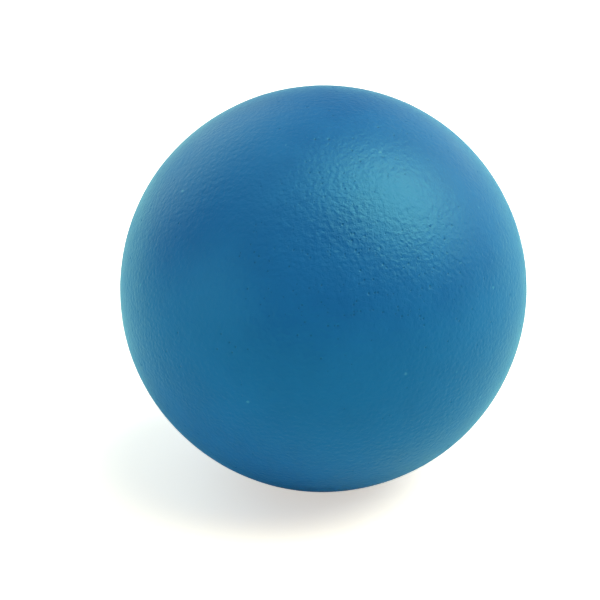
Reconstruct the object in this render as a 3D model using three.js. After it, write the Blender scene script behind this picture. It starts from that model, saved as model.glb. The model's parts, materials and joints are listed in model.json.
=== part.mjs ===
// A foam stress ball, 63 mm across: a blue moulded skin on a soft foam core, standing on its trimmed gate.
// Millimetres, +Z up. The origin is the centre of the gate's cut face, which the ball rests on.
import * as THREE from "three";

// Driving dimensions
const BALL_DIAMETER = 63;
const SKIN_THICKNESS = 1; // the dense layer that forms against the mould
const GATE_DIAMETER = 9.2; // the hole that the foam was poured through, at the bottom of the ball
const FIT_GAP = 0.3; // between pieces that grip each other all over: the skin, the core and the gate plug

// How finely the round surfaces are faceted
const SIDES = 48;
const STEPS_PER_QUARTER = 12;

// What follows from them
const SKIN_OUTSIDE = BALL_DIAMETER / 2;
const SKIN_INSIDE = SKIN_OUTSIDE - SKIN_THICKNESS;
const CORE_RADIUS = SKIN_INSIDE - FIT_GAP;
const TOP_ANGLE = 0; // angles run down from the top of the ball
const GATE_ANGLE = Math.PI - Math.asin(GATE_DIAMETER / 2 / SKIN_OUTSIDE);
const CENTRE_HEIGHT = -SKIN_OUTSIDE * Math.cos(GATE_ANGLE); // of the ball above the face that it rests on

const BLUE_SKIN = { color: 0x1b66a0, roughness: 0.45, metalness: 0 };
const CREAM_FOAM = { color: 0xe9dfc2, roughness: 0.95, metalness: 0 };

// A point on a sphere about the ball's centre, as (distance from the axis, height).
function onSphere(radius, angle) {
  return new THREE.Vector2(radius * Math.sin(angle), CENTRE_HEIGHT + radius * Math.cos(angle));
}

function arc(radius, from, to, steps) {
  return Array.from({ length: steps + 1 }, (_, i) => onSphere(radius, from + ((to - from) * i) / steps));
}

// The angle at which a sphere of this radius is this far above the ball's centre.
function angleAt(radius, above) {
  return Math.acos(above / radius);
}

// A solid of revolution about +Z, from a profile that runs up its outside or closes on itself.
function turned(name, profile, finish) {
  const geometry = new THREE.LatheGeometry(profile, SIDES).rotateX(Math.PI / 2);
  const mesh = new THREE.Mesh(geometry, new THREE.MeshStandardMaterial(finish));
  mesh.name = name;
  return mesh;
}

// The skin's upper half is a dome, cut level just above the mould's parting line round the ball's middle.
function skinUpper() {
  const wall = (radius) => arc(radius, TOP_ANGLE, angleAt(radius, FIT_GAP / 2), STEPS_PER_QUARTER);
  return turned("skin_upper", [...wall(SKIN_INSIDE), ...wall(SKIN_OUTSIDE).reverse()], BLUE_SKIN);
}

// The lower half is a bowl from just below the parting line, with the gate hole through its bottom.
function skinLower() {
  const wall = (radius) => arc(radius, angleAt(radius, -FIT_GAP / 2), GATE_ANGLE, STEPS_PER_QUARTER);
  const profile = [...wall(SKIN_INSIDE), ...wall(SKIN_OUTSIDE).reverse()];
  return turned("skin_lower", [...profile, profile[0].clone()], BLUE_SKIN);
}

// The core fills the skin, and is flat over the gate.
function foamCore() {
  const outside = arc(CORE_RADIUS, GATE_ANGLE, TOP_ANGLE, 2 * STEPS_PER_QUARTER);
  return turned("foam_core", [new THREE.Vector2(0, outside[0].y), ...outside], CREAM_FOAM);
}

// The foam that filled the gate hole, cut off level with the skin. The ball rests on its lower face.
function gatePlug() {
  const [mouth, throat] = [onSphere(SKIN_OUTSIDE, GATE_ANGLE), onSphere(SKIN_INSIDE, GATE_ANGLE)];
  const profile = [
    new THREE.Vector2(0, 0),
    new THREE.Vector2(mouth.x - FIT_GAP, 0),
    new THREE.Vector2(throat.x - FIT_GAP, throat.y),
    new THREE.Vector2(0, throat.y),
  ];
  return turned("gate_plug", profile, CREAM_FOAM);
}

const stressBall = new THREE.Group();
stressBall.add(skinUpper(), skinLower(), foamCore(), gatePlug());
export default stressBall;
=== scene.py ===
"""A foam stress ball: a blue moulded skin on a cream foam core, with the cut foam of its gate underneath.

Everything is in metres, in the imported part's own frame. Each operator makes one piece, and the last one sets
the stage.
"""

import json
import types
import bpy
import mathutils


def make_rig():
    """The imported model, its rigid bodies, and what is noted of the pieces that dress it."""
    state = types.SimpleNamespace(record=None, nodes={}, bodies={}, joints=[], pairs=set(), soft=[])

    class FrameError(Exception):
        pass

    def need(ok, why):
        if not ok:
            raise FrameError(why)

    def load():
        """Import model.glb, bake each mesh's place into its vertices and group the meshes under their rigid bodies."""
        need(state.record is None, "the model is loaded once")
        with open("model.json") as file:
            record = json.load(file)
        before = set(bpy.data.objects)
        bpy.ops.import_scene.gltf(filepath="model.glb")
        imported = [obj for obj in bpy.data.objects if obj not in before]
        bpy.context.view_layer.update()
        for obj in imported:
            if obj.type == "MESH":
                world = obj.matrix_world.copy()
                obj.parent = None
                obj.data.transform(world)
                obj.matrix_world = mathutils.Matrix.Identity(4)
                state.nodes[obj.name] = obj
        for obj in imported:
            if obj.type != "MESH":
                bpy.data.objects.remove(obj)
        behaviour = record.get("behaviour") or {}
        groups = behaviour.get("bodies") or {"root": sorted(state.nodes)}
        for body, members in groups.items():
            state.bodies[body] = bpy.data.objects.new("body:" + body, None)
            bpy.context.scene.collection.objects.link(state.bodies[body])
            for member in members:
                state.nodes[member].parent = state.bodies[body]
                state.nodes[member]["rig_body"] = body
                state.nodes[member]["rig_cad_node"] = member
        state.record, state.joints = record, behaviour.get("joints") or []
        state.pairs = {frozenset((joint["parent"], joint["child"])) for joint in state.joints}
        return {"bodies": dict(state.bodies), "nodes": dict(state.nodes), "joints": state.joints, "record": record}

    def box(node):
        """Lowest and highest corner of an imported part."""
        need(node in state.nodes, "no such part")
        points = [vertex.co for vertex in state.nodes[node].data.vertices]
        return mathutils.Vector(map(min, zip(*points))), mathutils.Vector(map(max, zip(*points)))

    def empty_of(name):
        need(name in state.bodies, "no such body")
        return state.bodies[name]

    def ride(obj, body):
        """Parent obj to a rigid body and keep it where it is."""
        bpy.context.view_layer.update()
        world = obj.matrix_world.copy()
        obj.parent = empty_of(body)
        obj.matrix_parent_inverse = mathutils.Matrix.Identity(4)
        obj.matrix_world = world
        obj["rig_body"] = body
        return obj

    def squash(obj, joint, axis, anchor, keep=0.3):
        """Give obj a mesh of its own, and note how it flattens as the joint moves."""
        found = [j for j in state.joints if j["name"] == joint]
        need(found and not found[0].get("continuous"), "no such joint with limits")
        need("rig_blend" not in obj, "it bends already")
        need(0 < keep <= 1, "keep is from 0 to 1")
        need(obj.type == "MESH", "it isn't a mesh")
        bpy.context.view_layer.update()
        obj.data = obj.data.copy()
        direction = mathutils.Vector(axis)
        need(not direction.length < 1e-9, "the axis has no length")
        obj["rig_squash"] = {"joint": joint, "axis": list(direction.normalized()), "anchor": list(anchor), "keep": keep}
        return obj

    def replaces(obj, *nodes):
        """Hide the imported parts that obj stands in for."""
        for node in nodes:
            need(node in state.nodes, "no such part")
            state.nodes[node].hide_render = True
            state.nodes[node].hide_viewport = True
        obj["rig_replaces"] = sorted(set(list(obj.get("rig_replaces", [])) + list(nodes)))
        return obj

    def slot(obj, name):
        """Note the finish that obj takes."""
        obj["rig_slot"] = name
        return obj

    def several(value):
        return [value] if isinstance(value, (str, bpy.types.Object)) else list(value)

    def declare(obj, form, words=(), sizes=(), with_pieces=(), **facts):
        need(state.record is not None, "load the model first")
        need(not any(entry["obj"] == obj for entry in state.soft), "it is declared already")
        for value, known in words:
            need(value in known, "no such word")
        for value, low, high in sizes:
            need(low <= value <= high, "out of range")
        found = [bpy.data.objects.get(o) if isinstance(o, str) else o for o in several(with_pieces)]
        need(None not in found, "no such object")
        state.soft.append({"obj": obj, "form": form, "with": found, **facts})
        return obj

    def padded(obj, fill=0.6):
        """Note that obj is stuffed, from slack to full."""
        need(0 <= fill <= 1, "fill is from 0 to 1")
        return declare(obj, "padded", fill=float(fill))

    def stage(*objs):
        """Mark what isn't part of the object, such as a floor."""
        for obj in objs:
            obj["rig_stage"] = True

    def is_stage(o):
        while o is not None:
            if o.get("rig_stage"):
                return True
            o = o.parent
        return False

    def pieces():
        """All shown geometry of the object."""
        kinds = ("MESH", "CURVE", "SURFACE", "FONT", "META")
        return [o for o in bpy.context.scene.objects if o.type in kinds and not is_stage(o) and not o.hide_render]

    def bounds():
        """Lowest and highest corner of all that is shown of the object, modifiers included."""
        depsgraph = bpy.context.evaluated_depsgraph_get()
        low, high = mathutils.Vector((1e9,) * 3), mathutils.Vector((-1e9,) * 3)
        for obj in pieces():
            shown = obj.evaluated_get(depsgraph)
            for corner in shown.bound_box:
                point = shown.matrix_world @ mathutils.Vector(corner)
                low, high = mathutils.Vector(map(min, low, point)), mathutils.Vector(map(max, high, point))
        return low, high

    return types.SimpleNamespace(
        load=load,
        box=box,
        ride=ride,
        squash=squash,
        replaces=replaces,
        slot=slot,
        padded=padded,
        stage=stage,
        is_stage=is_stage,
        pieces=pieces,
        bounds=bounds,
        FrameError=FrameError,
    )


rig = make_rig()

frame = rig.load()
CAD_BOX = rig.bounds()

import json
import math

import bmesh
import bpy
import numpy as np
from bpy.props import FloatProperty, FloatVectorProperty, IntProperty, PointerProperty
from mathutils import Euler, Vector, noise

bl_info = {
    "name": "Foam stress ball",
    "version": (1, 0, 0),
    "blender": (4, 5, 0),
    "location": "View3D > Sidebar > Stress ball",
    "description": "Makes a moulded foam squeeze ball, piece by piece",
    "category": "Object",
}

MM = 0.001

# The ball, from the frame
BALL_LOW, BALL_HIGH = CAD_BOX
BALL_RADIUS = (BALL_HIGH.x - BALL_LOW.x) / 2
BALL_TOP = BALL_HIGH.z
BALL_CENTRE = Vector((0, 0, BALL_TOP - BALL_RADIUS))
CORE_LOW, CORE_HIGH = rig.box("foam_core")
CORE_RADIUS = CORE_HIGH.z - BALL_CENTRE.z
PLUG_LOW, PLUG_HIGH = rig.box("gate_plug")
PLUG_RADIUS = PLUG_HIGH.x
GATE_ANGLE = math.pi - math.acos(BALL_CENTRE.z / BALL_RADIUS)  # down from the top of the ball
SKIN_INSIDE = (BALL_CENTRE.z - PLUG_HIGH.z) / -math.cos(GATE_ANGLE)

# The squeeze
SQUEEZE = next(j for j in frame["joints"] if j["name"] == "squeeze")
SQUEEZED_SHARE = 1 - SQUEEZE["range_m"][1] / BALL_TOP
HELD_BODY = SQUEEZE["parent"]


# Settings


class SkinSettings(bpy.types.PropertyGroup):
    colour: FloatVectorProperty(
        name="Colour",
        description="Blue of the skin where the coat is thick",
        subtype="COLOR",
        min=0,
        max=1,
        default=(0.0078, 0.0805, 0.264),
    )
    pale_colour: FloatVectorProperty(
        name="Pale colour",
        description="Blue of the skin where the coat is thin",
        subtype="COLOR",
        min=0,
        max=1,
        default=(0.0088, 0.0925, 0.288),
    )
    scuff_colour: FloatVectorProperty(
        name="Scuff colour",
        description="Colour of the small pale scuffs",
        subtype="COLOR",
        min=0,
        max=1,
        default=(0.1, 0.3, 0.42),
    )
    roughness: FloatProperty(
        name="Roughness",
        description="Roughness of the satin coat",
        subtype="FACTOR",
        min=0,
        max=1,
        default=0.35,
    )
    gloss: FloatProperty(
        name="Gloss",
        description="Strength of the satin coat's reflection",
        subtype="FACTOR",
        min=0,
        max=1,
        default=0.44,
    )
    gloss_colour: FloatVectorProperty(
        name="Gloss colour",
        description="Tint of the satin coat's reflection",
        subtype="COLOR",
        min=0,
        max=1,
        default=(0.28, 1, 0.95),
    )
    lump_height: FloatProperty(
        name="Lump height",
        description="How far the ball is out of round",
        unit="LENGTH",
        default=0.12 * MM,
    )
    ripple_height: FloatProperty(
        name="Ripple height",
        description="Height of the shallow ripples between lumps and wrinkles",
        unit="LENGTH",
        default=0.012 * MM,
    )
    wrinkle_width: FloatProperty(
        name="Wrinkle width",
        description="Distance from one fine wrinkle to the next",
        unit="LENGTH",
        default=0.6 * MM,
    )
    wrinkle_height: FloatProperty(
        name="Wrinkle height",
        description="Height of the fine wrinkles",
        unit="LENGTH",
        default=0.09 * MM,
    )
    wrinkled_side: FloatVectorProperty(
        name="Wrinkled side",
        description="Direction from the centre to the side where the skin gassed and wrinkled most",
        subtype="DIRECTION",
        default=(0.15, -0.8, 0.6),
    )
    pores: IntProperty(
        name="Pores",
        description="Number of pin pores in the skin",
        min=0,
        default=480,
    )
    pore_depth: FloatProperty(
        name="Pore depth",
        description="Depth of a pin pore",
        unit="LENGTH",
        default=0.06 * MM,
    )


class FoamSettings(bpy.types.PropertyGroup):
    colour: FloatVectorProperty(
        name="Colour",
        description="Cream of the raw foam",
        subtype="COLOR",
        min=0,
        max=1,
        default=(0.81, 0.74, 0.54),
    )
    cell_width: FloatProperty(
        name="Cell width",
        description="Width of a foam cell",
        unit="LENGTH",
        default=0.35 * MM,
    )
    cell_depth: FloatProperty(
        name="Cell depth",
        description="Depth of the cells that the knife opened",
        unit="LENGTH",
        default=0.12 * MM,
    )


class StageSettings(bpy.types.PropertyGroup):
    floor_colour: FloatVectorProperty(
        name="Floor colour",
        description="Colour of the sheet that the ball stands on, as the camera sees it",
        subtype="COLOR",
        min=0,
        max=1,
        default=(0.97, 0.85, 0.85),
    )
    bounce_colour: FloatVectorProperty(
        name="Bounce colour",
        description="Colour of the sheet in the light that it throws back on the ball",
        subtype="COLOR",
        min=0,
        max=1,
        default=(0.4, 0.84, 0.9),
    )
    floor_glow: FloatProperty(
        name="Floor glow",
        description="How much brighter the sheet is seen than it lights the ball",
        min=0,
        default=0.56,
    )
    light: FloatProperty(
        name="Light",
        description="Brightness of the light tent, as a share of its usual brightness",
        min=0,
        default=0.95,
    )
    camera_height: FloatProperty(
        name="Camera height",
        description="Angle of the camera above the horizon",
        subtype="ANGLE",
        default=math.radians(25),
    )
    lens: FloatProperty(
        name="Lens",
        description="Focal length in millimetres",
        default=150,
    )
    ball_share: FloatProperty(
        name="Ball share",
        description="Share of the width of the camera's view that the ball fills",
        subtype="FACTOR",
        min=0.1,
        max=1,
        default=0.678,
    )
    ball_place: FloatVectorProperty(
        name="Ball place",
        description="Place of the ball's centre in the camera's view, as shares from its left and bottom",
        size=2,
        default=(0.5383, 0.5192),
    )


class StressBallSettings(bpy.types.PropertyGroup):
    skin: PointerProperty(type=SkinSettings)
    foam: PointerProperty(type=FoamSettings)
    stage: PointerProperty(type=StageSettings)


# Mesh work


def squares_in_a_disc(across):
    """A grid of squares drawn out over a unit disc.

    Gives the points' places, their numbers in the grid, and the numbers of the edge points, at equal angles.
    """
    bent = math.sqrt(2) * np.sin(np.radians(np.linspace(-45, 45, across + 1)))
    x, y = np.meshgrid(bent, bent, indexing="ij")
    places = np.stack([x * np.sqrt(1 - y**2 / 2), y * np.sqrt(1 - x**2 / 2)], axis=-1)
    index = np.arange((across + 1) ** 2).reshape(across + 1, across + 1)
    edge = [index[-1, :-1], index[:0:-1, -1], index[0, :0:-1], index[:-1, 0]]
    return places.reshape(-1, 2), index, np.concatenate(edge)


def disc_points(places, outline):
    """Points over a disc.

    outline gives the distance from the axis and the height at a share of the way out.
    """
    out = np.hypot(*places.T)
    distance, height = outline(out)
    steer = places / np.maximum(out, 1e-9)[:, None]
    return np.column_stack([steer * distance[:, None], height])


def turned_mesh(name, across, start, rings, end):
    """A closed mesh round the Z axis: a disc of squares, then rings of squares, and a second disc.

    start and end are the discs' outlines. rings holds each ring between them, as its distance from the axis
    and its height.
    """
    places, index, edge = squares_in_a_disc(across)
    directions = places[edge]
    ring_points = [np.column_stack([directions * r, np.full(len(edge), z)]) for r, z in rings]
    points = np.concatenate([disc_points(places, start), *ring_points, disc_points(places, end)])

    first_ring = len(places)
    end_disc = first_ring + len(rings) * len(edge)
    ring_loops = [np.arange(len(edge)) + first_ring + i * len(edge) for i in range(len(rings))]
    loops = [edge, *ring_loops, edge + end_disc]
    corners = [index[:-1, :-1], index[1:, :-1], index[1:, 1:], index[:-1, 1:]]
    disc_squares = np.stack(corners, axis=-1).reshape(-1, 4)
    ring_squares = [
        np.stack([inner, outer, np.roll(outer, -1), np.roll(inner, -1)], axis=-1)
        for inner, outer in zip(loops, loops[1:])
    ]
    faces = np.concatenate([disc_squares, *ring_squares, disc_squares[:, ::-1] + end_disc])

    mesh = bpy.data.meshes.new(name)
    mesh.from_pydata(points.tolist(), [], faces.tolist())
    mesh.shade_smooth()
    return mesh


def on_ball(radius, angle):
    """The distance from the axis and the height, on a sphere about the ball's centre.

    angle is measured down from the top of the sphere.
    """
    return radius * np.sin(angle), BALL_CENTRE.z + radius * np.cos(angle)


def cap(radius, edge_angle, top=True):
    """The outline of a disc over the top or bottom of a sphere."""

    def outline(share):
        from_pole = edge_angle * share
        return on_ball(radius, from_pole if top else math.pi - from_pole)

    return outline


def level_disc(radius, height):
    """The outline of a level disc."""

    def outline(share):
        return radius * share, np.full_like(share, height)

    return outline


def bands(radius, start, end, step):
    """Rings on a sphere from one angle to another, about a step apart, with both ends."""
    count = max(2, round(abs(end - start) * radius / step) + 1)
    return [on_ball(radius, angle) for angle in np.linspace(start, end, count)]


def noise_at(points, width, seed):
    """Smooth noise from -1 to 1 at each point, in bumps of about this width."""
    shift = Vector((seed * 17.3, seed * 5.1, seed * 9.7))
    return np.array([noise.noise(Vector(p) / width + shift) for p in points])


def points_of(mesh):
    places = np.zeros(len(mesh.vertices) * 3)
    mesh.vertices.foreach_get("co", places)
    return places.reshape(-1, 3)


def set_points(mesh, places):
    mesh.vertices.foreach_set("co", places.astype(np.float32).ravel())
    mesh.update()


def keep_rest_places(mesh):
    """Stores where each point is at rest, so that a pattern stays on the surface when the piece flattens."""
    attribute = mesh.attributes.new("rest_place", "FLOAT_VECTOR", "POINT")
    attribute.data.foreach_set("vector", points_of(mesh).astype(np.float32).ravel())


def smooth_step(x, low, high):
    t = np.clip((x - low) / (high - low), 0, 1)
    return t * t * (3 - 2 * t)


def finished_piece(name, mesh, material, slot, *cad_nodes):
    """Puts a piece in the scene, standing for its CAD nodes.

    It rides on the held half and flattens as the ball is squeezed.
    """
    mesh.materials.append(material)
    piece = bpy.data.objects.new(name, mesh)
    bpy.context.scene.collection.objects.link(piece)
    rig.replaces(piece, *cad_nodes)
    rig.slot(piece, slot)
    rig.ride(piece, HELD_BODY)
    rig.squash(piece, "squeeze", axis=(0, 0, 1), anchor=(0, 0, 0), keep=SQUEEZED_SHARE)
    return piece


# Node work


def add_node(tree, kind, **settings):
    """A new node, with its own properties set. Its inputs are left to put."""
    node = tree.nodes.new("ShaderNode" + kind)
    for key, value in settings.items():
        setattr(node, key, value)
    return node


def feed(tree, socket, value):
    """Links an input to another node's output, or sets its value."""
    if isinstance(value, bpy.types.NodeSocket):
        tree.links.new(value, socket)
    else:
        socket.default_value = value


def put(tree, node, **inputs):
    """Feeds a node's inputs, by name with _ for a space."""
    for key, value in inputs.items():
        feed(tree, node.inputs[key.replace("_", " ")], value)
    return node


def maths(tree, operation, *values, clamp=False):
    node = add_node(tree, "Math", operation=operation, use_clamp=clamp)
    for socket, value in zip(node.inputs, values):
        feed(tree, socket, value)
    return node.outputs[0]


def vector_maths(tree, operation, *values):
    node = add_node(tree, "VectorMath", operation=operation)
    for socket, value in zip(node.inputs, values):
        feed(tree, socket, value)
    return node.outputs["Value" if operation == "DOT_PRODUCT" else "Vector"]


def remap(tree, value, low, high, to_low=0.0, to_high=1.0):
    """Maps low..high onto to_low..to_high, smoothly, and holds the ends."""
    node = add_node(tree, "MapRange", interpolation_type="SMOOTHSTEP")
    put(tree, node, Value=value, From_Min=low, From_Max=high, To_Min=to_low, To_Max=to_high)
    return node.outputs["Result"]


def noise_node(tree, place, width, detail=2.0, roughness=0.5, distortion=0.0):
    node = add_node(tree, "TexNoise")
    put(tree, node, Vector=place, Scale=1 / width)
    put(tree, node, Detail=detail, Roughness=roughness, Distortion=distortion)
    return node.outputs["Fac"]


def mix_colours(tree, factor, a, b):
    node = add_node(tree, "Mix", data_type="RGBA")
    for number, value in ((0, factor), (6, a), (7, b)):  # the colour inputs share their names with others
        feed(tree, node.inputs[number], value)
    return node.outputs[2]


def new_group(name, inputs, outputs):
    """An empty node group, the sockets of its input node, and its output node.

    inputs gives each input's socket type and default by name, and outputs each output's socket type.
    """
    group = bpy.data.node_groups.new(name, "ShaderNodeTree")
    for socket_name, (kind, default) in inputs.items():
        socket = group.interface.new_socket(socket_name, in_out="INPUT", socket_type=kind)
        if default is not None:
            socket.default_value = default
    for socket_name, kind in outputs.items():
        group.interface.new_socket(socket_name, in_out="OUTPUT", socket_type=kind)
    entry = group.nodes.new("NodeGroupInput")
    leave = group.nodes.new("NodeGroupOutput")
    return group, entry.outputs, leave


def foam_cells_group():
    """Cut or moulded foam: round cells with thin walls.

    Gives the height of the surface and how deep a point is in a cell.
    """
    name = "Foam cells"
    if name in bpy.data.node_groups:
        return bpy.data.node_groups[name]
    group, given, leave = new_group(
        name,
        {
            "Place": ("NodeSocketVector", None),
            "Cells per metre": ("NodeSocketFloat", 1 / (0.35 * MM)),
            "Openness": ("NodeSocketFloat", 0.6),
        },
        {"Height": "NodeSocketFloat", "Depth in cell": "NodeSocketFloat"},
    )
    cells = add_node(group, "TexVoronoi", feature="F1")
    put(group, cells, Vector=given["Place"], Scale=given["Cells per metre"], Randomness=0.85)
    big_cells = add_node(group, "TexVoronoi", feature="F1")
    big_scale = maths(group, "MULTIPLY", given["Cells per metre"], 0.4)
    put(group, big_cells, Vector=given["Place"], Scale=big_scale, Randomness=1.0)
    small = remap(group, cells.outputs["Distance"], 0.15, 0.55, 1.0, 0.0)
    large = remap(group, big_cells.outputs["Distance"], 0.1, 0.4, 1.0, 0.0)
    both = maths(group, "MAXIMUM", small, large)
    depth = maths(group, "MULTIPLY", both, given["Openness"], clamp=True)
    height = maths(group, "SUBTRACT", 1.0, depth)
    group.links.new(height, leave.inputs["Height"])
    group.links.new(depth, leave.inputs["Depth in cell"])
    return group


def mottle_group():
    """Slow changes of tone over a moulded surface, from 0 to 1."""
    name = "Mottle"
    if name in bpy.data.node_groups:
        return bpy.data.node_groups[name]
    group, given, leave = new_group(
        name,
        {"Place": ("NodeSocketVector", None), "Patches per metre": ("NodeSocketFloat", 80.0)},
        {"Tone": "NodeSocketFloat"},
    )
    pattern = add_node(group, "TexNoise")
    put(group, pattern, Vector=given["Place"], Scale=given["Patches per metre"], Detail=4.0, Roughness=0.6)
    tone = remap(group, pattern.outputs["Fac"], 0.3, 0.7)
    group.links.new(tone, leave.inputs["Tone"])
    return group


def specks_group():
    """A few small specks over a surface, each 1 in its middle and fading to 0."""
    name = "Specks"
    if name in bpy.data.node_groups:
        return bpy.data.node_groups[name]
    group, given, leave = new_group(
        name,
        {
            "Place": ("NodeSocketVector", None),
            "Specks per metre": ("NodeSocketFloat", 150.0),
            "Size": ("NodeSocketFloat", 0.05),
        },
        {"Mask": "NodeSocketFloat"},
    )
    ragged = add_node(group, "TexNoise")
    put(group, ragged, Vector=given["Place"], Scale=2500.0, Detail=1.0)
    spots = add_node(group, "TexVoronoi", feature="F1")
    put(group, spots, Vector=given["Place"], Scale=given["Specks per metre"], Randomness=1.0)
    wobble = maths(group, "MULTIPLY", maths(group, "SUBTRACT", ragged.outputs["Fac"], 0.5), given["Size"])
    distance = maths(group, "ADD", spots.outputs["Distance"], wobble)
    mask = remap(group, distance, given["Size"], maths(group, "MULTIPLY", given["Size"], 0.4), 0.0, 1.0)
    group.links.new(mask, leave.inputs["Mask"])
    return group


def use_group(tree, group, **inputs):
    node = tree.nodes.new("ShaderNodeGroup")
    node.node_tree = group
    return put(tree, node, **inputs).outputs


def new_material(name):
    """A new material: its node tree, its Principled BSDF and the rest place of each point."""
    material = bpy.data.materials.new(name)
    material.use_nodes = True
    tree = material.node_tree
    shader = next(n for n in tree.nodes if n.type == "BSDF_PRINCIPLED")
    place = add_node(tree, "Attribute", attribute_name="rest_place").outputs["Vector"]
    return material, tree, shader, place


def bump(tree, height, distance):
    node = add_node(tree, "Bump")
    put(tree, node, Strength=1.0, Distance=distance, Height=height)
    return node.outputs["Normal"]


def rgba(colour):
    return (*colour, 1.0)


# Materials

PAINTED_SHADE_IN_PORE = 0.3  # painted shade: brightness of the blue painted at the bottom of a pore, where shade falls
# How strongly the painted shade darkens the coat's blue in the pores
PORE_PAINTED_SHADE_AMOUNT = 0.45
SCUFF_PALENESS = 0.35
PEBBLE_SHARE = 0.6  # of the height of the long wrinkles
GRAIN_SHARE = 0.2
WRINKLE_RANGE = (0.85, 1.05)  # height of the wrinkles where the skin is smoothest and most wrinkled
COAT_ROUGHNESS_SPREAD = (-0.03, 0.04)
FOAM_ROUGHNESS = (0.98, 0.86)  # in the depths of the cells and on their walls
# Painted shade: the cream darkens by this tint in the depths of the foam cells
FOAM_CELL_PAINTED_SHADE = (0.62, 0.52, 0.38)
FOAM_WARM_TINT = (0.96, 0.9, 0.78)
SHEET_GLOW_COLOUR = (1, 0.925, 0.845)


def tinted(colour, tint):
    return tuple(c * t for c, t in zip(colour, tint))


def blue_skin(look):
    """The satin coat: blue, a little mottled, with fine wrinkles that come in patches, and pin pores with painted shade
    at their bottoms.
    """
    material, tree, shader, place = new_material("blue_skin")
    tone = use_group(tree, mottle_group(), Place=place, Patches_per_metre=90.0)["Tone"]
    pore = add_node(tree, "Attribute", attribute_name="pore").outputs["Fac"]
    wrinkled = add_node(tree, "Attribute", attribute_name="wrinkled").outputs["Fac"]

    coat = mix_colours(tree, tone, rgba(look.colour), rgba(look.pale_colour))
    # Painted shade: the pore bottoms are darkened in the base colour, as if shadowed
    pore_shade_amount = maths(tree, "MULTIPLY", pore, PORE_PAINTED_SHADE_AMOUNT)
    coat_and_pore_shade = mix_colours(tree, pore_shade_amount, coat, rgba(tinted(look.colour, (PAINTED_SHADE_IN_PORE,) * 3)))
    scuff = use_group(tree, specks_group(), Place=place, Specks_per_metre=170.0, Size=0.06)["Mask"]
    on_scuff = maths(tree, "MULTIPLY", scuff, SCUFF_PALENESS)
    put(tree, shader, Base_Color=mix_colours(tree, on_scuff, coat_and_pore_shade, rgba(look.scuff_colour)))

    long_wrinkles = noise_node(tree, place, look.wrinkle_width, roughness=0.55, distortion=0.4)
    pebbles = add_node(tree, "TexVoronoi", feature="SMOOTH_F1")
    put(tree, pebbles, Vector=place, Scale=0.8 / look.wrinkle_width, Smoothness=0.8, Randomness=1.0)
    grain = noise_node(tree, place, look.wrinkle_width / 4, detail=1.0)
    pebble_height = maths(tree, "MULTIPLY", pebbles.outputs["Distance"], PEBBLE_SHARE)
    wrinkles = maths(tree, "ADD", long_wrinkles, pebble_height)
    wrinkles = maths(tree, "MULTIPLY", wrinkles, remap(tree, wrinkled, 0.0, 1.0, *WRINKLE_RANGE))
    surface = maths(tree, "ADD", wrinkles, maths(tree, "MULTIPLY", grain, GRAIN_SHARE))
    put(tree, shader, Normal=bump(tree, surface, look.wrinkle_height))

    smooth, rough = (look.roughness + spread for spread in COAT_ROUGHNESS_SPREAD)
    put(tree, shader, Roughness=remap(tree, tone, 0.0, 1.0, smooth, rough))
    put(tree, shader, Specular_IOR_Level=look.gloss, Specular_Tint=rgba(look.gloss_colour))
    return material


def cream_foam(name, look, openness):
    """Raw foam, moulded or cut: open cells, with painted shade in their depths."""
    material, tree, shader, place = new_material(name)
    density = 1 / look.cell_width
    cells = use_group(tree, foam_cells_group(), Place=place, Cells_per_metre=density, Openness=openness)
    tone = use_group(tree, mottle_group(), Place=place, Patches_per_metre=200.0)["Tone"]
    foam = mix_colours(tree, tone, rgba(look.colour), rgba(tinted(look.colour, FOAM_WARM_TINT)))
    # Painted shade: a darker cream mixed in by depth in the cell
    deep = rgba(tinted(look.colour, FOAM_CELL_PAINTED_SHADE))
    put(tree, shader, Base_Color=mix_colours(tree, cells["Depth in cell"], foam, deep))
    put(tree, shader, Roughness=remap(tree, cells["Height"], 0.0, 1.0, *FOAM_ROUGHNESS))
    put(tree, shader, Normal=bump(tree, cells["Height"], look.cell_depth))
    return material


def white_sheet(look):
    """The pale sheet. The camera sees its floor colour and its glow, and the ball sees its bounce colour."""
    material, tree, shader, _ = new_material("white_sheet")
    seen = add_node(tree, "LightPath").outputs["Is Camera Ray"]
    colour = mix_colours(tree, seen, rgba(look.bounce_colour), rgba(look.floor_colour))
    glow = maths(tree, "MULTIPLY", seen, look.floor_glow)
    put(tree, shader, Base_Color=colour, Roughness=0.9)
    put(tree, shader, Emission_Color=rgba(SHEET_GLOW_COLOUR), Emission_Strength=glow)
    return material


# Operators


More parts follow.
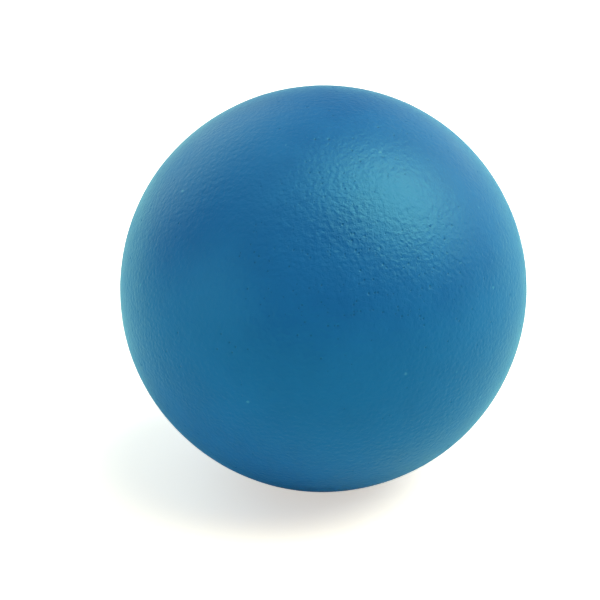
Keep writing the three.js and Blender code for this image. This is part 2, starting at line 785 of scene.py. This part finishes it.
class STRESSBALL_OT_skin(bpy.types.Operator):
    """Makes the moulded skin: one closed shell, open at the gate, with ripples, wrinkles and pin pores"""

    bl_idname = "stressball.skin"
    bl_label = "Skin"

    SQUARES_ACROSS_TOP = 100
    OUTSIDE_STEP = 0.49 * MM
    INSIDE_STEP = 3 * MM
    TOP_DISC_ANGLE = math.radians(45)
    LIP = 0.25 * MM  # how far the cut edge of the gate is rounded
    LIP_CORNER = ((0.08, 0.45), (0.45, 0.08))  # shares of the lip, inwards and round the ball
    CLEAR_OF_GATE = 4 * MM
    LUMP_WIDTH = 22 * MM
    RIPPLE_WIDTHS = (3.2 * MM, 1.7 * MM)
    PATCH_WIDTH = 9 * MM
    PORE_SIZES = (0.65, 0.8, 0.95, 1.1)  # as shares of the usual size
    PORE_GATE_GAP = math.radians(4)
    OUTSIDE_DEPTH = 0.3 * MM  # faces within this of the ball's surface are its outside
    SEED = 7

    def execute(self, context):
        look = context.scene.stress_ball.skin
        mesh = self.shell()
        self.uneven(mesh, look)
        self.pierce(mesh, look)
        keep_rest_places(mesh)
        skin = finished_piece("skin", mesh, blue_skin(look), "skin", "skin_upper", "skin_lower")
        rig.padded(skin, fill=1.0)
        return {"FINISHED"}

    def shell(self):
        lip_angle = self.LIP / BALL_RADIUS
        outside = bands(BALL_RADIUS, self.TOP_DISC_ANGLE, GATE_ANGLE - lip_angle, self.OUTSIDE_STEP)
        corner = [
            on_ball(BALL_RADIUS - self.LIP * inwards, GATE_ANGLE - lip_angle * round_ball)
            for inwards, round_ball in self.LIP_CORNER
        ]
        wall = [on_ball(r, GATE_ANGLE) for r in np.linspace(BALL_RADIUS - self.LIP, SKIN_INSIDE, 3)]
        inside = bands(SKIN_INSIDE, GATE_ANGLE, self.TOP_DISC_ANGLE, self.INSIDE_STEP)
        rings = [*outside[1:], *corner, *wall, *inside[1:-1]]
        start = cap(BALL_RADIUS, self.TOP_DISC_ANGLE)
        end = cap(SKIN_INSIDE, self.TOP_DISC_ANGLE)
        return turned_mesh("skin", self.SQUARES_ACROSS_TOP, start, rings, end)

    def uneven(self, mesh, look):
        """Puts lumps and shallow ripples on the outside, fading out at the gate.

        It also stores how wrinkled the skin is at each point.
        """
        places = points_of(mesh)
        spoke = places - np.array(BALL_CENTRE)
        radius = np.linalg.norm(spoke, axis=1)
        spoke /= radius[:, None]
        outside = smooth_step(radius, SKIN_INSIDE, BALL_RADIUS)
        clear_of_gate = smooth_step(places[:, 2], 0, self.CLEAR_OF_GATE)
        lumps = noise_at(places, self.LUMP_WIDTH, seed=1) * look.lump_height
        wide, narrow = self.RIPPLE_WIDTHS
        ripples = noise_at(places, wide, seed=2) + 0.6 * noise_at(places, narrow, seed=3)
        ripples *= look.ripple_height
        set_points(mesh, places + spoke * ((lumps + ripples) * outside * clear_of_gate)[:, None])

        towards = spoke @ np.array(Vector(look.wrinkled_side).normalized())
        patches = 0.5 + 0.7 * noise_at(places, self.PATCH_WIDTH, seed=4)
        on_side = 0.9 * smooth_step(towards, 0.75, 1.0) * (0.6 + 0.4 * patches)
        wrinkled = np.clip(0.35 * patches + on_side, 0, 1)
        attribute = mesh.attributes.new("wrinkled", "FLOAT", "POINT")
        attribute.data.foreach_set("value", wrinkled.astype(np.float32))

    def is_square(self, face):
        """False for the few faces that the disc of squares stretches at its corners."""
        return face.calc_area() > 0.75 * max(edge.calc_length() for edge in face.edges) ** 2

    def pierce(self, mesh, look):
        """Sinks a pin pore into squares of the outside, most of them where the skin is wrinkled."""
        draw = np.random.default_rng(self.SEED)
        work = bmesh.new()
        work.from_mesh(mesh)
        work.faces.ensure_lookup_table()
        wrinkled = work.verts.layers.float["wrinkled"]
        pore = work.verts.layers.float.new("pore")
        lowest = BALL_CENTRE.z + BALL_RADIUS * math.cos(GATE_ANGLE - self.PORE_GATE_GAP)
        nearest = BALL_RADIUS - self.OUTSIDE_DEPTH
        outer = [f for f in work.faces if (f.calc_center_median() - BALL_CENTRE).length > nearest]
        outer = [f for f in outer if f.calc_center_median().z > lowest and self.is_square(f)]
        weight = np.array([(0.04 + f.verts[0][wrinkled]) ** 2 for f in outer])
        picked = draw.choice(len(outer), size=look.pores, replace=False, p=weight / weight.sum())
        for size, squares in zip(self.PORE_SIZES, np.array_split(picked, len(self.PORE_SIZES))):
            bottoms = [outer[square] for square in squares]
            # Each step's inset, as a share of a square, and its share of the depth
            rim, slope, bottom = (0.5 - 0.4 * size, 0.12), (0.12 * size, 0.6), (0.1 * size, 0.28)
            for inset, sink in (rim, slope, bottom):
                bmesh.ops.inset_individual(
                    work,
                    faces=bottoms,
                    thickness=inset * self.OUTSIDE_STEP,
                    depth=-sink * size * look.pore_depth,
                    use_even_offset=True,
                )
            # Marks the pore bottoms, where the skin's colour gets painted shade
            for face in bottoms:
                for vertex in face.verts:
                    vertex[pore] = 1.0
        work.to_mesh(mesh)
        work.free()
        mesh.shade_smooth()


class STRESSBALL_OT_foam_core(bpy.types.Operator):
    """Makes the foam core, flat over the gate"""

    bl_idname = "stressball.foam_core"
    bl_label = "Foam core"

    SQUARES_ACROSS = 48
    DISC_ANGLE = math.radians(45)
    STEP = 1 * MM
    HOLLOW_WIDTH = 2.2 * MM

    def execute(self, context):
        look = context.scene.stress_ball.foam
        rings = bands(CORE_RADIUS, self.DISC_ANGLE, math.pi - self.DISC_ANGLE, self.STEP)[1:-1]
        start = cap(CORE_RADIUS, self.DISC_ANGLE)
        end = cap(CORE_RADIUS, self.DISC_ANGLE, top=False)
        mesh = turned_mesh("foam_core", self.SQUARES_ACROSS, start, rings, end)
        places = points_of(mesh)
        spoke = places - np.array(BALL_CENTRE)
        spoke /= np.linalg.norm(spoke, axis=1)[:, None]
        hollows = np.clip(noise_at(places, self.HOLLOW_WIDTH, seed=11), 0, 1) * look.cell_depth
        places -= spoke * hollows[:, None]
        places[:, 2] = np.maximum(places[:, 2], CORE_LOW.z)
        set_points(mesh, places)
        keep_rest_places(mesh)
        material = cream_foam("moulded_foam", look, openness=0.35)
        core = finished_piece("foam_core_moulded", mesh, material, "foam", "foam_core")
        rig.padded(core, fill=1.0)
        return {"FINISHED"}


class STRESSBALL_OT_gate_plug(bpy.types.Operator):
    """Makes the foam that filled the gate, with its cut face down"""

    bl_idname = "stressball.gate_plug"
    bl_label = "Gate plug"

    SQUARES_ACROSS = 40
    WALL_RINGS = 4
    ROUNDING = 0.12 * MM
    CELL_WIDTHS = (0.7 * MM, 0.4 * MM)
    DISH = 0.05 * MM

    def execute(self, context):
        look = context.scene.stress_ball.foam
        throat = PLUG_RADIUS - (PLUG_HIGH.z - PLUG_LOW.z) * math.tan(math.pi - GATE_ANGLE)
        wall = [
            (PLUG_RADIUS + (throat - PLUG_RADIUS) * share, PLUG_HIGH.z * share)
            for share in np.linspace(1, self.ROUNDING / PLUG_HIGH.z, self.WALL_RINGS)
        ]
        rounded = (PLUG_RADIUS - 0.3 * self.ROUNDING, 0.3 * self.ROUNDING)
        start = level_disc(throat, PLUG_HIGH.z)
        end = level_disc(PLUG_RADIUS - self.ROUNDING, 0)
        mesh = turned_mesh("gate_plug", self.SQUARES_ACROSS, start, [*wall[1:], rounded], end)
        places = points_of(mesh)
        under = places[:, 2] < self.ROUNDING / 2
        wide, narrow = self.CELL_WIDTHS
        cells = np.clip(noise_at(places, wide, seed=21) + 0.4 * noise_at(places, narrow, seed=22), 0, 1)
        dished = smooth_step(PLUG_RADIUS - np.hypot(places[:, 0], places[:, 1]), 0, PLUG_RADIUS)
        places[:, 2] += under * (cells * look.cell_depth + dished * self.DISH)
        set_points(mesh, places)
        keep_rest_places(mesh)
        material = cream_foam("cut_foam", look, openness=0.8)
        finished_piece("gate_plug_cut", mesh, material, "foam", "gate_plug")
        return {"FINISHED"}


class STRESSBALL_OT_stage(bpy.types.Operator):
    """Sets the white sheet, the softboxes and the camera"""

    bl_idname = "stressball.stage"
    bl_label = "Stage"

    SHEET_RADIUS = 3.0
    SENSOR = 36.0  # millimetres, as the lens
    WHITE_GROUND = 1.1
    WALLS = (0.28, 0.4, 0.4)
    DARKEST = (0.1, 0.1, 0.1)
    DAYLIGHT = (0.62, 1.0, 1.0)
    TUBES = (0.88, 1.0, 0.79)
    # Each one's colour, turn from the camera, height, brightness over the walls, and how far from its middle
    # it starts to fade and ends. All angles are in degrees.
    SOFTBOXES = {
        "key": (TUBES, 77, 59, 6.6, 5, 38),
        "side": (TUBES, 94, 39, 2.8, 3, 36),
        "top": (TUBES, -60, 75, 0.75, 5, 40),
        "behind, low": (DAYLIGHT, 142, 8, 1.0, 3, 35),
        "front left": (DAYLIGHT, -62, 5, 1.9, 4, 34),
        "behind left": (DAYLIGHT, -140, 23, 1.4, 3, 38),
        "dark front": (DAYLIGHT, 24, 26, -2.9, 27, 60),
    }

    def execute(self, context):
        look = context.scene.stress_ball.stage
        self.sheet(look)
        self.tent(context, look)
        self.camera(context, look)
        context.scene.view_settings.view_transform = "Standard"
        return {"FINISHED"}

    def sheet(self, look):
        work = bmesh.new()
        bmesh.ops.create_circle(work, cap_ends=True, segments=96, radius=self.SHEET_RADIUS)
        mesh = bpy.data.meshes.new("sheet")
        work.to_mesh(mesh)
        work.free()
        keep_rest_places(mesh)
        mesh.materials.append(white_sheet(look))
        floor = bpy.data.objects.new("sheet", mesh)
        bpy.context.scene.collection.objects.link(floor)
        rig.stage(floor)

    def tent(self, context, look):
        """A light tent round the ball: even walls, softboxes and one dark side.

        The camera sees plain white instead.
        """
        world = bpy.data.worlds.new("light_tent")
        world.use_nodes = True
        tree = world.node_tree
        tree.nodes.clear()
        place = add_node(tree, "TexCoord").outputs["Generated"]
        brightness = self.WALLS
        for colour, turn, height, amount, middle, edge in self.SOFTBOXES.values():
            towards = Vector((0, -math.cos(math.radians(height)), math.sin(math.radians(height))))
            towards.rotate(Euler((0, 0, math.radians(turn))))
            facing = vector_maths(tree, "DOT_PRODUCT", place, towards)
            at_edge, at_middle = math.cos(math.radians(edge)), math.cos(math.radians(middle))
            glow = remap(tree, facing, at_edge, at_middle, 0.0, amount)
            brightness = vector_maths(tree, "ADD", brightness, vector_maths(tree, "MULTIPLY", glow, colour))
        brightness = vector_maths(tree, "MAXIMUM", brightness, self.DARKEST)
        lights = put(tree, add_node(tree, "Background"), Color=brightness, Strength=look.light)
        seen = put(tree, add_node(tree, "Background"), Color=rgba((1, 1, 1)), Strength=self.WHITE_GROUND)
        either = add_node(tree, "MixShader")
        tree.links.new(add_node(tree, "LightPath").outputs["Is Camera Ray"], either.inputs[0])
        tree.links.new(lights.outputs[0], either.inputs[1])
        tree.links.new(seen.outputs[0], either.inputs[2])
        tree.links.new(either.outputs[0], add_node(tree, "OutputWorld").inputs["Surface"])
        context.scene.world = world

    def camera(self, context, look):
        """Stands off until the ball fills its share of the view, and aims to put its centre at its place."""
        lens = bpy.data.cameras.new("camera")
        lens.lens, lens.sensor_width = look.lens, self.SENSOR
        eye = bpy.data.objects.new("camera", lens)
        context.scene.collection.objects.link(eye)
        back = Vector((0, -math.cos(look.camera_height), math.sin(look.camera_height)))
        right = Vector((1, 0, 0))
        up = back.cross(right)
        half_angle = math.atan(look.ball_share * self.SENSOR / 2 / look.lens)
        distance = BALL_RADIUS / math.sin(half_angle)
        offset = [(place - 0.5) * self.SENSOR / look.lens * distance for place in look.ball_place]
        aim = BALL_CENTRE - right * offset[0] - up * offset[1]
        eye.location = BALL_CENTRE + back * distance
        eye.rotation_euler = (aim - eye.location).to_track_quat("-Z", "Y").to_euler()
        context.scene.camera = eye


class STRESSBALL_PT_panel(bpy.types.Panel):
    """Lists the pieces and their settings"""

    bl_idname = "STRESSBALL_PT_panel"
    bl_label = "Stress ball"
    bl_space_type = "VIEW_3D"
    bl_region_type = "UI"
    bl_category = "Stress ball"

    def draw(self, context):
        settings = context.scene.stress_ball
        for operator, group in (
            (STRESSBALL_OT_skin, settings.skin),
            (STRESSBALL_OT_foam_core, settings.foam),
            (STRESSBALL_OT_gate_plug, None),
            (STRESSBALL_OT_stage, settings.stage),
        ):
            self.layout.operator(operator.bl_idname)
            for name in group.bl_rna.properties.keys() if group else ():
                if name not in ("rna_type", "name"):
                    self.layout.prop(group, name)


CLASSES = (
    SkinSettings,
    FoamSettings,
    StageSettings,
    StressBallSettings,
    STRESSBALL_OT_skin,
    STRESSBALL_OT_foam_core,
    STRESSBALL_OT_gate_plug,
    STRESSBALL_OT_stage,
    STRESSBALL_PT_panel,
)


def register():
    for cls in CLASSES:
        bpy.utils.register_class(cls)
    bpy.types.Scene.stress_ball = PointerProperty(type=StressBallSettings)


def unregister():
    del bpy.types.Scene.stress_ball
    for cls in reversed(CLASSES):
        bpy.utils.unregister_class(cls)


def main():
    register()
    bpy.ops.stressball.stage()
    bpy.ops.stressball.foam_core()
    bpy.ops.stressball.gate_plug()
    bpy.ops.stressball.skin()
    boxes = {"cad": CAD_BOX, "visual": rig.bounds()}
    with open("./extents.json", "w") as file:
        json.dump({name: [list(corner) for corner in box] for name, box in boxes.items()}, file, indent=1)


if __name__ == "__main__":
    main()
